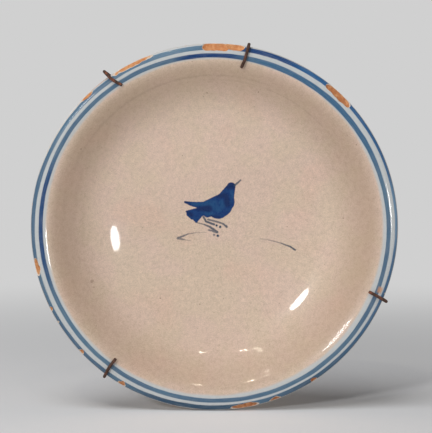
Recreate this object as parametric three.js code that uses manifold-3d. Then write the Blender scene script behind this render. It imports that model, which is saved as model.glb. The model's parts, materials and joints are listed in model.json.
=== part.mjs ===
// A wall dish: thrown, tin-glazed earthenware with a chipped lip, held in a sprung iron wire hanger.
// Millimetres, +Z up, the dish faces -Y. The origin is the wall nail's axis, in the plane of the wall.
import * as THREE from 'three';
import { mergeVertices } from 'three/addons/utils/BufferGeometryUtils.js';
import Module from 'manifold-3d';

const wasm = await Module();
wasm.setup();

// Driving dimensions of the dish
const dishDiameter = 300;
const dishHeight = 47; // foot ring's face to the crest of the lip
const wallThickness = 7;
const floorThickness = 7; // at the centre
const floorRadius = 86; // where the floor turns up into the wall
const floorTurnUp = 13; // degrees, the slope there
const wallFootHandle = 28; // how long the wall keeps the floor's slope
const wallLipHandle = 16; // how long it takes to level out into the lip
const lipCrestInset = 7.5; // crest of the lip to its edge
const lipEdgeDrop = 4.5; // crest of the lip down to the widest line of its edge
const lipUnderInset = 4; // the rounding under the edge
const lipThickness = 7.4;
const footDiameter = 160;
const footWidth = 8;
const footHeight = 7; // outside
const recessDepth = 6; // inside the foot ring
const recessDoming = 0.8; // how much deeper the recess is at its centre
const recessFillet = 2.5; // between the recess and the foot ring
const footEdgeRounding = 0.8;

// Driving dimensions of the hanger
const wireDiameter = 2.7;
const eyeHeight = 51; // middle of the nail eye above the dish's centre
const eyeRadius = 5.35; // to the middle of the wire
const nailDiameter = 3;
const apexHeight = 14.5; // middle of the lower wire's bend above the dish's centre
const apexRadius = 4;
const springWireDiameter = 0.9;
const springDiameter = 6.4; // to the middle of its wire
const springPitch = 1.35;
const hookBend = 3.5; // bend radii, to the middle of the wire
const armBend = 6;
const crestBend = 8;
const bowBend = 25;
const hookLevelRun = 4; // how far past the crest a hook runs level before it follows the face
const armSlope = 26; // length over which an arm drops from its eye or bend to the foot ring

// Clearances
const seatGap = 0.3; // wire to the clay that it bears on
const turnGap = 0.5; // wire to wire where the eye crosses itself
const lipGap = 0.45; // hook to the crest of the lip
const loopGap = 0.35; // spring loop to the wire that it hangs on

// The four hooks: where each crosses the edge of the dish, in degrees anticlockwise from +X as seen
// from the front, how far its tip reaches in from there, how slack it stands outside the edge, how
// far its middle is bent sideways, and whether its tip follows the face down from the lip
const hooks = {
  upperLeft: { angle: 124.5, reach: 13, slack: 3.8, bow: 1.5, follows: false },
  upperRight: { angle: 79.4, reach: 18.5, slack: 0, bow: -0.7, follows: true },
  lowerLeft: { angle: 233.5, reach: 16.5, slack: 0, bow: -0.9, follows: false },
  lowerRight: { angle: 336.9, reach: 14, slack: 1.2, bow: 0.2, follows: false },
};

// Chips along the lip: place in degrees, length along the edge, bite in from the edge, and depth
const chips = [
  { angle: 46.7, length: 30, bite: 5.6, depth: 3.2 },
  { angle: 84.2, length: 23, bite: 7.6, depth: 3.4 },
  { angle: 91.2, length: 19, bite: 6.6, depth: 2.8 },
  { angle: 113.5, length: 21, bite: 2.6, depth: 2.6 },
  { angle: 134.2, length: 15, bite: 2.4, depth: 2.8 },
  { angle: 192.5, length: 19, bite: 4.4, depth: 3 },
  { angle: 206.5, length: 6, bite: 3, depth: 2.2 },
  { angle: 223, length: 8, bite: 3.2, depth: 2.4 },
  { angle: 239.3, length: 9.5, bite: 4, depth: 2.8 },
  { angle: 279.8, length: 30, bite: 4.2, depth: 3 },
  { angle: 289.6, length: 15, bite: 3.4, depth: 2.6 },
  { angle: 303.2, length: 8, bite: 4, depth: 2.6 },
];

// Fineness
const dishSides = 84;
const wireSides = 8;
const bendStep = 18; // degrees of bend to each step
const springSides = 5;
const springSteps = 8; // steps to each curl

// Worked out from them
const dishRadius = dishDiameter / 2;
const footRadius = footDiameter / 2;
const footInnerRadius = footRadius - footWidth;
const wireRadius = wireDiameter / 2;
const springRadius = springDiameter / 2;
const springWireRadius = springWireDiameter / 2;
const footStandoff = wireDiameter + seatGap; // the wires pass between the foot ring and the wall
const footWireHeight = -(seatGap + wireRadius);
const crestRadius = dishRadius - lipCrestInset;
const floorRise = (floorRadius * Math.tan(THREE.MathUtils.degToRad(floorTurnUp))) / 3; // of a cubic floor
const hookFrontHeight = dishHeight + lipGap + wireRadius;
const hookBackHeight = dishHeight - lipThickness + seatGap;

const glaze = new THREE.MeshStandardMaterial({ color: 0xcdb6a3, roughness: 0.28, metalness: 0 });
const rustyIron = new THREE.MeshStandardMaterial({ color: 0x4a3429, roughness: 0.85, metalness: 0.4 });
const springSteel = new THREE.MeshStandardMaterial({ color: 0x5b4a3e, roughness: 0.7, metalness: 0.6 });

const radians = THREE.MathUtils.degToRad;

// A point of the hanger or the dish: x to the right, depth forward from the foot ring's face, z up
const place = (x, depth, z) => new THREE.Vector3(x, -depth, z);

// The inside of the wall, from the end of the floor to the crest of the lip, in radius and height
function wallCurve() {
  const start = new THREE.Vector2(floorRadius, recessDepth + recessDoming + floorThickness + floorRise);
  const end = new THREE.Vector2(crestRadius, dishHeight);
  const rise = radians(floorTurnUp);
  const first = start.clone().add(new THREE.Vector2(Math.cos(rise), Math.sin(rise)).multiplyScalar(wallFootHandle));
  const second = end.clone().sub(new THREE.Vector2(wallLipHandle, 0));
  return new THREE.CubicBezierCurve(start, first, second, end);
}

// Points of an ellipse's arc, both ends included
function arc(centreR, centreH, radiusR, radiusH, from, to, steps) {
  return Array.from({ length: steps + 1 }, (_, i) => {
    const angle = radians(from + ((to - from) * i) / steps);
    return new THREE.Vector2(centreR + radiusR * Math.cos(angle), centreH + radiusH * Math.sin(angle));
  });
}

// The dish's section, from the middle of the recess round the foot, wall and lip to the middle of the floor
function dishProfile() {
  const wall = wallCurve();
  const floorStart = wall.getPoint(0);
  const edgeHeight = dishHeight - lipEdgeDrop;
  const recess = Array.from({ length: 3 }, (_, i) => {
    const share = i / 3;
    return new THREE.Vector2((footInnerRadius - recessFillet) * share, recessDepth + recessDoming * (1 - share * share));
  });
  const innerFoot = arc(footInnerRadius - recessFillet, recessDepth - recessFillet, recessFillet, recessFillet, 90, 0, 3);
  const round = footEdgeRounding;
  const innerEdge = arc(footInnerRadius + round, round, round, round, 180, 270, 2);
  const outerEdge = arc(footRadius - round, round, round, round, 270, 360, 2);
  const outside = [];
  for (let i = 1; i <= 8; i += 1) {
    const along = i / 9.5;
    const point = wall.getPoint(along);
    const tangent = wall.getTangent(along);
    outside.push(new THREE.Vector2(point.x + tangent.y * wallThickness, point.y - tangent.x * wallThickness));
  }
  const underLip = arc(dishRadius - lipUnderInset, edgeHeight, lipUnderInset, lipThickness - lipEdgeDrop, -90, 0, 4);
  const overLip = arc(crestRadius, edgeHeight, lipCrestInset, lipEdgeDrop, 0, 90, 6);
  const inside = wall.getPoints(11).reverse();
  const floor = [0.85, 0.68, 0.45, 0].map((share) => {
    const height = floorStart.y - floorRise * (1 - share ** 3);
    return new THREE.Vector2(floorRadius * share, height);
  });
  return [
    ...recess, ...innerFoot, ...innerEdge, ...outerEdge, new THREE.Vector2(footRadius, footHeight),
    ...outside, ...underLip, ...overLip.slice(1), ...inside.slice(1), ...floor,
  ];
}

// A closed geometry as a solid that can be cut, and back
function solidOf(geometry) {
  const plain = geometry.clone();
  plain.deleteAttribute('normal');
  plain.deleteAttribute('uv');
  const welded = mergeVertices(plain, 1e-4);
  return new wasm.Manifold(new wasm.Mesh({
    numProp: 3,
    vertProperties: new Float32Array(welded.attributes.position.array),
    triVerts: new Uint32Array(welded.index.array),
  }));
}

function geometryOf(solid) {
  const { vertProperties, triVerts } = solid.getMesh();
  const geometry = new THREE.BufferGeometry();
  geometry.setAttribute('position', new THREE.BufferAttribute(new Float32Array(vertProperties), 3));
  geometry.setIndex(new THREE.BufferAttribute(new Uint32Array(triVerts), 1));
  geometry.computeVertexNormals();
  return geometry;
}

// One shell-shaped flake to be knocked off the shoulder of the lip
function flake({ angle, length, bite, depth }) {
  const proud = 1.2; // how far the flake's middle lies outside the edge
  const lift = 1; // and above the crest
  const shape = new THREE.IcosahedronGeometry(1, 1);
  const points = shape.attributes.position;
  for (let i = 0; i < points.count; i += 1) {
    const [x, y, z] = [points.getX(i), points.getY(i), points.getZ(i)];
    const uneven = 1 + 0.07 * Math.sin(5 * x + angle) * Math.cos(4 * z - angle) + 0.05 * Math.sin(6 * y + 2 * angle);
    points.setXYZ(i, x * uneven, y * uneven, z * uneven);
  }
  shape.scale(bite + proud, depth + lift + lipEdgeDrop / 2, length / 2);
  shape.translate(dishRadius + proud, -(dishHeight + lift), 0);
  shape.rotateY(-radians(angle));
  return solidOf(shape);
}

function dishBody() {
  const revolved = new THREE.LatheGeometry(dishProfile(), dishSides);
  revolved.rotateX(Math.PI);
  let body = solidOf(revolved);
  for (const chip of chips) {
    body = body.subtract(flake(chip));
  }
  return geometryOf(body);
}

// A round wire along a path of points, with flat ends
function wireAlong(path, radius, sides) {
  const tangents = path.map((point, i) => {
    const before = path[Math.max(i - 1, 0)];
    const after = path[Math.min(i + 1, path.length - 1)];
    return after.clone().sub(before).normalize();
  });
  const side = new THREE.Vector3(1, 0, 0).cross(tangents[0]).normalize();
  const positions = [];
  path.forEach((point, i) => {
    side.addScaledVector(tangents[i], -side.dot(tangents[i])).normalize();
    const across = tangents[i].clone().cross(side);
    for (let k = 0; k < sides; k += 1) {
      const turn = (2 * Math.PI * k) / sides;
      const rim = point.clone().addScaledVector(side, radius * Math.cos(turn)).addScaledVector(across, radius * Math.sin(turn));
      positions.push(rim.x, rim.y, rim.z);
    }
  });
  const index = [];
  for (let i = 0; i + 1 < path.length; i += 1) {
    for (let k = 0; k < sides; k += 1) {
      const a = i * sides + k;
      const b = i * sides + ((k + 1) % sides);
      index.push(a, b, b + sides, a, b + sides, a + sides);
    }
  }
  const last = (path.length - 1) * sides;
  for (let k = 1; k + 1 < sides; k += 1) {
    index.push(0, k + 1, k, last, last + k, last + k + 1);
  }
  const geometry = new THREE.BufferGeometry();
  geometry.setAttribute('position', new THREE.Float32BufferAttribute(positions, 3));
  geometry.setIndex(index);
  geometry.computeVertexNormals();
  return geometry;
}

// Straight runs joined by round bends: each corner gives its point and its bend radius
function bentPath(corners) {
  const path = [corners[0].point];
  for (let i = 1; i + 1 < corners.length; i += 1) {
    const { point } = corners[i];
    const back = corners[i - 1].point.clone().sub(point);
    const on = corners[i + 1].point.clone().sub(point);
    const half = back.angleTo(on) / 2;
    const turn = Math.PI - 2 * half;
    if (turn < radians(1)) continue;
    const room = 0.45 * Math.min(back.length(), on.length());
    const bend = Math.min(corners[i].bend, room * Math.tan(half));
    back.normalize();
    on.normalize();
    const middle = back.clone().add(on).normalize().multiplyScalar(bend / Math.sin(half)).add(point);
    const start = back.clone().multiplyScalar(bend / Math.tan(half)).add(point).sub(middle);
    const axis = on.clone().cross(back).normalize();
    const steps = Math.max(2, Math.ceil(turn / radians(bendStep)));
    for (let k = 0; k <= steps; k += 1) {
      path.push(start.clone().applyAxisAngle(axis, (turn * k) / steps).add(middle));
    }
  }
  path.push(corners[corners.length - 1].point);
  return path;
}

// Height of the dish's inner face at a radius on the wall, and its slope there
function innerFace(radius) {
  const points = wallCurve().getPoints(200);
  const i = points.findIndex((point) => point.x >= radius);
  const [before, after] = [points[i - 1], points[i]];
  const slope = (after.y - before.y) / (after.x - before.x);
  return { height: before.y + slope * (radius - before.x), slope };
}

// The straight line in plan from a hook's crossing of the edge to the round of an eye or bend.
// The round's middle lies on the right of the line for a wire that runs in, and for one that runs out
function armLine(hook, middle, radius, runsIn) {
  const angle = radians(hook.angle);
  const rim = new THREE.Vector2(Math.cos(angle), Math.sin(angle)).multiplyScalar(dishRadius);
  const between = rim.clone().sub(middle);
  const spread = Math.asin(radius / between.length()) * (runsIn ? 1 : -1);
  const out = new THREE.Vector2(Math.cos(between.angle() + spread), Math.sin(between.angle() + spread));
  const right = runsIn ? new THREE.Vector2(-out.y, out.x) : new THREE.Vector2(out.y, -out.x);
  const touch = middle.clone().addScaledVector(right, -radius);
  return { rim, out, touch };
}

// Corners of one arm and its hook, from the eye or bend over the foot ring and round the lip to the
// tip. The arm keeps its depth for the level run, in which the arms of an eye cross
function armCorners(hook, line, eyeDepth, levelRun) {
  const { out, touch, rim } = line;
  const along = (distance, depth, sideways = 0) => place(
    touch.x + out.x * distance - out.y * sideways,
    depth,
    touch.y + out.y * distance + out.x * sideways,
  );
  const distanceTo = (radius) => {
    const toward = touch.dot(out);
    return Math.sqrt(toward * toward + radius * radius - touch.lengthSq()) - toward;
  };
  const askew = rim.dot(out) / dishRadius;
  const edge = distanceTo(dishRadius);
  const outer = edge + (seatGap + wireRadius) / askew + hook.slack;
  const tip = edge - hook.reach;
  const crest = distanceTo(crestRadius);
  const footIn = Math.min(distanceTo(footInnerRadius) - wireRadius, levelRun + armSlope);
  const face = innerFace(touch.clone().addScaledVector(out, tip).length());
  const tipDepth = face.height + (wireRadius + lipGap) * Math.hypot(1, face.slope);
  const corners = [
    { point: along(0, eyeDepth), bend: 0 },
    { point: along(levelRun, eyeDepth), bend: wireDiameter },
    { point: along(footIn, footWireHeight), bend: armBend },
    { point: along(distanceTo(footRadius + wireRadius / 2), footWireHeight), bend: armBend },
    { point: along(outer, hookBackHeight), bend: hookBend },
    { point: along(outer, hookFrontHeight), bend: hookBend },
  ];
  if (hook.follows) {
    corners.push({ point: along(crest - hookLevelRun, hookFrontHeight, hook.bow), bend: crestBend });
    corners.push({ point: along(tip, tipDepth), bend: 0 });
  } else {
    corners.push({ point: along((outer + tip) / 2, hookFrontHeight, hook.bow), bend: bowBend });
    corners.push({ point: along(tip, hookFrontHeight), bend: 0 });
  }
  return corners;
}

// The turn of a wire round its eye or bend, clockwise as seen from the front, climbing as it goes
function turnPath(middle, radius, from, sweep, startDepth, endDepth) {
  const steps = Math.ceil(sweep / radians(bendStep));
  return Array.from({ length: steps + 1 }, (_, i) => {
    const share = i / steps;
    const angle = from - sweep * share;
    const depth = startDepth + (endDepth - startDepth) * share;
    return place(middle.x + radius * Math.cos(angle), depth, middle.y + radius * Math.sin(angle));
  });
}

// A whole hanger wire: hook, arm, turn, arm, hook
function hangerWire(leftHook, rightHook, middle, radius, startDepth, endDepth) {
  const left = armLine(leftHook, middle, radius, true);
  const right = armLine(rightHook, middle, radius, false);
  const from = left.touch.clone().sub(middle).angle();
  const to = right.touch.clone().sub(middle).angle();
  const sweep = (from - to + 2 * Math.PI) % (2 * Math.PI);
  const crossing = sweep > Math.PI ? radius / Math.tan((sweep - Math.PI) / 2) : 0;
  const levelRun = crossing + wireDiameter;
  const leftArm = bentPath(armCorners(leftHook, left, startDepth, levelRun)).reverse();
  const rightArm = bentPath(armCorners(rightHook, right, endDepth, levelRun));
  const turn = turnPath(middle, radius, from, sweep, startDepth, endDepth);
  return [...leftArm, ...turn.slice(1, -1), ...rightArm];
}

// Where the nail lies in the eye: in the fork under the crossing of the two arms
function nailPlace(middle) {
  const left = armLine(hooks.upperLeft, middle, eyeRadius, true);
  const right = armLine(hooks.upperRight, middle, eyeRadius, false);
  const upward = left.out.clone().add(right.out).normalize();
  const halfFork = Math.acos(THREE.MathUtils.clamp(upward.dot(left.out), -1, 1));
  const reach = (eyeRadius - wireRadius - nailDiameter / 2) / Math.sin(halfFork);
  return middle.clone().addScaledVector(upward, reach);
}

// The eye is set so that the nail comes plumb over the dish's centre
function plumbEye() {
  const middle = new THREE.Vector2(0, eyeHeight);
  for (let i = 0; i < 8; i += 1) {
    middle.x -= nailPlace(middle).x;
  }
  return middle;
}

// The tension spring's wire: half a loop, the coil and the other loop, about its own middle
function springPath(length) {
  const loopRise = 3.6; // coil's last turn to the middle of its loop
  const coil = length - 2 * (loopRise + springRadius - springWireRadius - loopGap - wireRadius);
  const turns = Math.max(1, Math.floor(coil / springPitch / 2) * 2);
  const pitch = coil / turns;
  const upper = [];
  const quarter = Math.PI / 2;
  const last = quarter + turns * Math.PI;
  const end = last + radians(215);
  const stand = radians(95); // the turning over which the wire bends up out of the coil
  for (let angle = quarter; angle <= end; angle += (2 * Math.PI) / springSteps / (angle > last - stand ? 2 : 1)) {
    const share = THREE.MathUtils.smoothstep(angle, last - stand / 2, last + stand / 2);
    const tilt = share * quarter;
    const rise = Math.min((pitch * (angle - quarter)) / (2 * Math.PI), coil / 2) + loopRise * share;
    const across = springRadius * Math.cos(angle - last + quarter);
    const depth = springRadius * Math.sin(angle - last + quarter);
    upper.push(new THREE.Vector3(across * Math.cos(tilt), -depth, rise - across * Math.sin(tilt)));
  }
  const lower = upper.slice(1).reverse().map((point) => new THREE.Vector3(-point.x, point.y, -point.z));
  return [...lower, ...upper];
}

// The least gap between turns of one wire, measured on close points along its path
function leastGap(path, diameter) {
  const spacing = diameter / 4;
  const points = [path[0]];
  path.slice(1).forEach((point, i) => {
    const count = Math.ceil(point.distanceTo(path[i]) / spacing);
    for (let k = 1; k <= count; k += 1) {
      points.push(path[i].clone().lerp(point, k / count));
    }
  });
  let least = Infinity;
  for (let i = 0; i < points.length; i += 1) {
    let run = 0;
    for (let k = i + 1; k < points.length; k += 1) {
      run += points[k].distanceTo(points[k - 1]);
      if (run > 4 * diameter) least = Math.min(least, points[i].distanceTo(points[k]) - diameter);
    }
  }
  return least;
}

function piece(name, geometry, material) {
  const mesh = new THREE.Mesh(geometry, material);
  mesh.name = name;
  return mesh;
}

const eye = plumbEye();
const nail = nailPlace(eye);
const apex = new THREE.Vector2(eye.x, apexHeight);
const springDepth = springRadius + springWireRadius + seatGap - footStandoff;
const eyeClimb = (wireDiameter + turnGap) / 2;

const hanger = new THREE.Group();
const upperPath = hangerWire(hooks.upperLeft, hooks.upperRight, eye, eyeRadius, springDepth + eyeClimb, springDepth - eyeClimb);
const lowerPath = hangerWire(hooks.lowerLeft, hooks.lowerRight, apex, apexRadius, springDepth, springDepth);
hanger.add(piece('upper_wire', wireAlong(upperPath, wireRadius, wireSides), rustyIron));
hanger.add(piece('lower_wire', wireAlong(lowerPath, wireRadius, wireSides), rustyIron));

const springTop = eye.y - eyeRadius;
const springFoot = apex.y + apexRadius;
const springLine = springPath(springTop - springFoot);
const spring = piece('tension_spring', wireAlong(springLine, springWireRadius, springSides), springSteel);
spring.position.copy(place(eye.x, springDepth, (springTop + springFoot) / 2));
hanger.add(spring);
console.log(`spring: least gap to itself ${leastGap(springLine, springWireDiameter).toFixed(2)} mm`);
console.log(`eye: least gap to itself ${leastGap(upperPath, wireDiameter).toFixed(2)} mm`);

const wallDish = new THREE.Group();
wallDish.add(piece('dish', dishBody(), glaze));
wallDish.add(hanger);
wallDish.position.set(-nail.x, -footStandoff, -nail.y);

export default wallDish;
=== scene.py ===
# A wall dish of tin-glazed earthenware in its sprung wire hanger, dressed for its picture
import json
import math
from types import SimpleNamespace
import bmesh
import bpy
import numpy as np
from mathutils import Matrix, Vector, noise

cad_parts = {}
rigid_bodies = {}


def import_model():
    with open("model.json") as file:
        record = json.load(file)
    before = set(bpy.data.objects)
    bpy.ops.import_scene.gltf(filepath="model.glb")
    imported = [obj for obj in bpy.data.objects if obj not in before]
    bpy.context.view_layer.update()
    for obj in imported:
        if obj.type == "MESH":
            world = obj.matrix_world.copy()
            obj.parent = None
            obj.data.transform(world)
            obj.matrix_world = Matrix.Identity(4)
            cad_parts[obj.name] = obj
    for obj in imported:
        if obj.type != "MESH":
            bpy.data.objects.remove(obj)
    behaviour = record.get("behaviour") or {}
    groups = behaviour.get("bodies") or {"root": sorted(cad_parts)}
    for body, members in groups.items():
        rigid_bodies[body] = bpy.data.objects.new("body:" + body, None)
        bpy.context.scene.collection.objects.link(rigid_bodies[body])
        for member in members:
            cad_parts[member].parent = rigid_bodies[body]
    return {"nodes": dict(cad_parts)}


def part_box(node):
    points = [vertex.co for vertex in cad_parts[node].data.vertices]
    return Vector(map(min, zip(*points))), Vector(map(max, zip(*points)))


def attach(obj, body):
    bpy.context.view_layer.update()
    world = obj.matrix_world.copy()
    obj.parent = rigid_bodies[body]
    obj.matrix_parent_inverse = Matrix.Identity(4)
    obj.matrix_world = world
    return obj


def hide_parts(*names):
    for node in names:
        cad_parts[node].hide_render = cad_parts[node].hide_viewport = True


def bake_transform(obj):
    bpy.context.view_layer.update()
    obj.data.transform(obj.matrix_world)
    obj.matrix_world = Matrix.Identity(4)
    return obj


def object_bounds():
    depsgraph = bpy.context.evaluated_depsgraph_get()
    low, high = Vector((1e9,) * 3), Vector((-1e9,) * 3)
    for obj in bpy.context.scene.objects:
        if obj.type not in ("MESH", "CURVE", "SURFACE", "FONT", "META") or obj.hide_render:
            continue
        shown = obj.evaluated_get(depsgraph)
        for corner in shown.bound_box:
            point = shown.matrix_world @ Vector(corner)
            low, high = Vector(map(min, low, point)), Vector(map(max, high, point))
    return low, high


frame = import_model()
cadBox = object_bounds()
mm = 0.001
dishLow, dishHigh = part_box("dish")
# the dish's middle, in the plane of the foot ring's face
dishMiddle = Vector(((dishLow.x + dishHigh.x) / 2, dishHigh.y, (dishLow.z + dishHigh.z) / 2))
print("frame loaded")


def onDish(x, depth, z):  # millimetres about the dish's middle, depth forward from the foot ring
    return dishMiddle + Vector((x, -depth, z)) * mm


def addObject(name, data):
    thing = bpy.data.objects.new(name, data)
    bpy.context.scene.collection.objects.link(thing)
    return thing


# The camera

camera = {
    "distance": 1200,  # mm from the middle of the widest line of the lip
    "above": 63,  # mm over the dish's middle
    "aimRight": 1.3,
    "aimUp": 9.1,
    "millimetresPerPixel": 0.8175,  # at the widest line of the lip
    "pixelsHigh": 433,
    "widestDepth": 42.5,
    "sensorWidth": 36,
    "near": 0.05,  # metres
    "far": 60,
}


def placeCamera(look):
    lens = bpy.data.cameras.new("pictureCamera")
    eye = addObject("pictureCamera", lens)
    bpy.context.scene.camera = eye
    forward = math.sqrt(look["distance"] ** 2 - look["above"] ** 2)
    eye.location = onDish(0, look["widestDepth"] + forward, look["above"])
    aim = onDish(look["aimRight"], look["widestDepth"], look["aimUp"])
    eye.rotation_mode = "QUATERNION"
    eye.rotation_quaternion = (aim - eye.location).to_track_quat("-Z", "Y")
    lens.sensor_width = look["sensorWidth"]
    lens.lens = look["sensorWidth"] * look["distance"] / (look["pixelsHigh"] * look["millimetresPerPixel"])
    lens.clip_start = look["near"]
    lens.clip_end = look["far"]


placeCamera(camera)
print("camera placed")


# Shader maths

class Signal:  # one output socket, used in plain arithmetic
    def __init__(self, finish, socket):
        self.finish = finish
        self.socket = socket

    def __add__(self, other):
        return self.finish.math("ADD", self, other)

    def __radd__(self, other):
        return self.finish.math("ADD", other, self)

    def __sub__(self, other):
        return self.finish.math("SUBTRACT", self, other)

    def __rsub__(self, other):
        return self.finish.math("SUBTRACT", other, self)

    def __mul__(self, other):
        return self.finish.math("MULTIPLY", self, other)

    def __rmul__(self, other):
        return self.finish.math("MULTIPLY", other, self)

    def __truediv__(self, other):
        return self.finish.math("DIVIDE", self, other)

    def __rtruediv__(self, other):
        return self.finish.math("DIVIDE", other, self)


class Finish:  # the nodes of one material, or of the world
    def __init__(self, name, store=bpy.data.materials):
        self.data = store.new(name)
        self.data.use_nodes = True
        self.tree = self.data.node_tree
        self.tree.nodes.clear()

    def make(self, kind, settings, inputs, output=0):
        node = self.tree.nodes.new(kind)
        for key, value in settings.items():
            setattr(node, key, value)
        for key, value in inputs.items():
            if isinstance(value, Signal):
                self.tree.links.new(value.socket, node.inputs[key])
            else:
                node.inputs[key].default_value = value
        return Signal(self, node.outputs[output]) if len(node.outputs) else None

    def math(self, operation, *values, clamp=False):
        settings = {"operation": operation, "use_clamp": clamp}
        return self.make("ShaderNodeMath", settings, dict(enumerate(values)))

    def vector(self, operation, *values, output="Vector"):
        return self.make("ShaderNodeVectorMath", {"operation": operation}, dict(enumerate(values)), output)

    def scaled(self, vector, factor):
        return self.make("ShaderNodeVectorMath", {"operation": "SCALE"}, {0: vector, "Scale": factor})

    def join(self, x, y, z):
        return self.make("ShaderNodeCombineXYZ", {}, {0: x, 1: y, 2: z})

    def ease(self, value, low, high):  # from 0 at low to 1 at high, with soft ends
        inputs = {"Value": value, "From Min": low, "From Max": high}
        return self.make("ShaderNodeMapRange", {"interpolation_type": "SMOOTHSTEP"}, inputs, "Result")

    def grain(self, place, scale, detail=2.0, rough=0.5):
        inputs = {"Vector": place, "Scale": scale, "Detail": detail, "Roughness": rough}
        return self.make("ShaderNodeTexNoise", {}, inputs)

    def cells(self, place, scale):
        return self.make("ShaderNodeTexVoronoi", {}, {"Vector": place, "Scale": scale}, "Distance")

    def blend(self, share, first, second):
        return self.make("ShaderNodeMix", {"data_type": "RGBA"}, {0: share, 6: first, 7: second}, 2)

    def toned(self, base, tone):  # the same colour, lighter or darker
        return self.make("ShaderNodeHueSaturation", {}, {"Color": base, "Value": tone})

    def place(self, origin):  # millimetres from an origin: across, depth forward and up
        raw = self.make("ShaderNodeTexCoord", {}, {}, "Object")
        moved = self.vector("SUBTRACT", raw, tuple(origin))
        return self.vector("MULTIPLY", moved, (1 / mm, -1 / mm, 1 / mm))

    def outputs(self, signal):  # every output of the node that a signal comes from
        return [Signal(self, socket) for socket in signal.socket.node.outputs]

    def parts(self, vector):
        return self.outputs(self.make("ShaderNodeSeparateXYZ", {}, {0: vector}))

    def scattered(self, place, scale):  # cells with their distance, and two random values for each cell
        distance, tint = self.outputs(self.cells(place, scale))[:2]
        one, other, _ = self.outputs(self.make("ShaderNodeSeparateColor", {}, {0: tint}))
        return distance, one, other

    def bump(self, height, depth, strength=1.0):
        inputs = {"Height": height, "Distance": depth * mm, "Strength": strength}
        return self.make("ShaderNodeBump", {}, inputs)

    def cover(self, inputs):
        shader = self.make("ShaderNodeBsdfPrincipled", {}, inputs)
        self.make("ShaderNodeOutputMaterial", {}, {"Surface": shader})
        return self.data


def screenColour(red, green, blue):  # 0 to 255, as a screen shows it
    def linear(value):
        share = value / 255
        return share / 12.92 if share <= 0.04045 else ((share + 0.055) / 1.055) ** 2.4
    return (linear(red), linear(green), linear(blue), 1.0)


# Glaze and paint

glaze = {
    "pink": screenColour(205, 182, 167),
    "sand": screenColour(202, 182, 163),
    "flush": screenColour(207, 177, 161),
    "tan": screenColour(166, 140, 116),  # painted shade on the wall, in brown
    "lipWhite": screenColour(184, 188, 190),
    "edge": screenColour(192, 190, 186),
    "edgeWarm": screenColour(190, 140, 104),
    "speck": screenColour(120, 98, 82),
    "stain": screenColour(196, 138, 92),
    "lipStart": 137.2,  # mm from the middle, where the white of the lip begins
    "lipFrom": 118,  # mm from the middle, where the lip's finish takes over from the well's
    "mottle": 1 / 30,  # one over the size of the clouds, mm
    "flushScale": 1 / 44,
    "grain": 0.75,  # how far the grain, the dust and the throwing rings vary the tone
    "dust": 0.3,
    "rings": 0.05,
    "paintedLightAbove": 0.11,  # painted light and painted shade: how much paler the glaze is painted at the top, and darker at the bottom
    "paintedShadeBelow": 0.02,
    "wall": (94, 127),  # mm from the middle, between which the well goes over into the wall
    "wallTop": (141, 128),
    "wallPaintedShade": (0.1, 0.06, 0.08),  # painted shade: how much darker the wall is painted, less so low down, more so at the left
    "wallPaintedShadeBrown": (0.5, 0.22),  # painted shade: how much browner the wall is painted, less so low down
    "roughness": 0.28,  # under the glassy surface
    "specular": 0.1,
    "coat": 0.38,
    "wellGloss": 0.045,  # roughness of the glassy surface
    "lipGloss": 0.06,
}
wellMarks = [  # single marks that the years have left: across, up, size and strength of each
    (106.5, 7, 0.75, 0.8), (-101.3, -45, 1.9, 0.45), (-99.5, -50, 1, 0.35), (-12.2, -65.5, 0.7, 0.7),
    (-2.1, 109.5, 0.6, 0.5), (44, -41, 0.5, 0.4), (-55, 60.5, 0.45, 0.4),
]
lipMarks = [(115.5, 67.6, 0.8, 0.7), (-86, 96, 0.5, 0.5)]
bands = {
    "innerMiddle": 141.3,  # mm from the middle
    "innerWander": (0.25, -0.88, 0.45, -0.5),  # to the right, up, both sides, and both slants
    "innerHalf": 1.7,
    "outerMiddle": 147.85,
    "outerWander": (0.45, -0.4, 0.85, 0.35),
    "outerHalf": 1.9,
    "soft": 0.8,
    "slate": screenColour(70, 98, 124),
    "teal": screenColour(48, 92, 128),
    "pale": screenColour(86, 118, 140),
    "navy": screenColour(0, 52, 106),
    "blue": screenColour(24, 84, 136),
    "ink": screenColour(36, 62, 86),
    "sky": screenColour(122, 154, 180),
    "clear": screenColour(62, 104, 146),
    # stretches where the brush left another blue: its place and half its width in degrees, how softly
    # it ends, and how much of it there is
    "innerNavy": [(92, 9, 4, 1), (178, 17, 8, 0.85)],
    "innerTeal": (52, 24, 16, 0.85),
    "outerBlues": [
        ("blue", 46, 30, 18, 0.85), ("navy", 73, 7, 6, 0.95), ("ink", 262, 12, 12, 0.75),
        # sky at 4 degrees is a lighter blue of the band with a painted highlight; at 104 degrees a paler blue
        # of the brush
        ("ink", 301, 4, 6, 0.3), ("clear", 350, 25, 15, 0.6), ("sky", 4, 7, 7, 0.6), ("sky", 104, 6, 6, 0.15),
    ],
}


# The dish: the same section as its solid, in fine steps

dish = {
    "radius": 150,
    "height": 47,
    "wall": 7,
    "floorHeight": 13.8,  # the well's floor at the centre
    "floorRadius": 86,
    "turnUp": math.radians(13),
    "footHandle": 28,
    "lipHandle": 16,
    "crestInset": 7.5,
    "edgeDrop": 4.5,
    "underInset": 4,
    "lipThickness": 7.4,
    "lipFullness": 2.6,
    "footRadius": 80,
    "footInner": 72,
    "footHeight": 7,
    "recess": 6,
    "recessDoming": 0.8,
    "recessFillet": 2.5,
    "footRounding": 0.8,
    "sides": 384,
    "throwingRing": 7.5,  # mm from one throwing ring to the next
    "ringHeight": 0.045,
    "unevenness": 0.12,
    "unevenInside": (122, 15),  # the radius where the wall is most uneven, and how far that spreads
    "unevenOutside": (108, 20),
}
wellFinish, lipFinish, backFinish, footFinish, chipFinish = range(5)  # as the dish's faces number them


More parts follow.
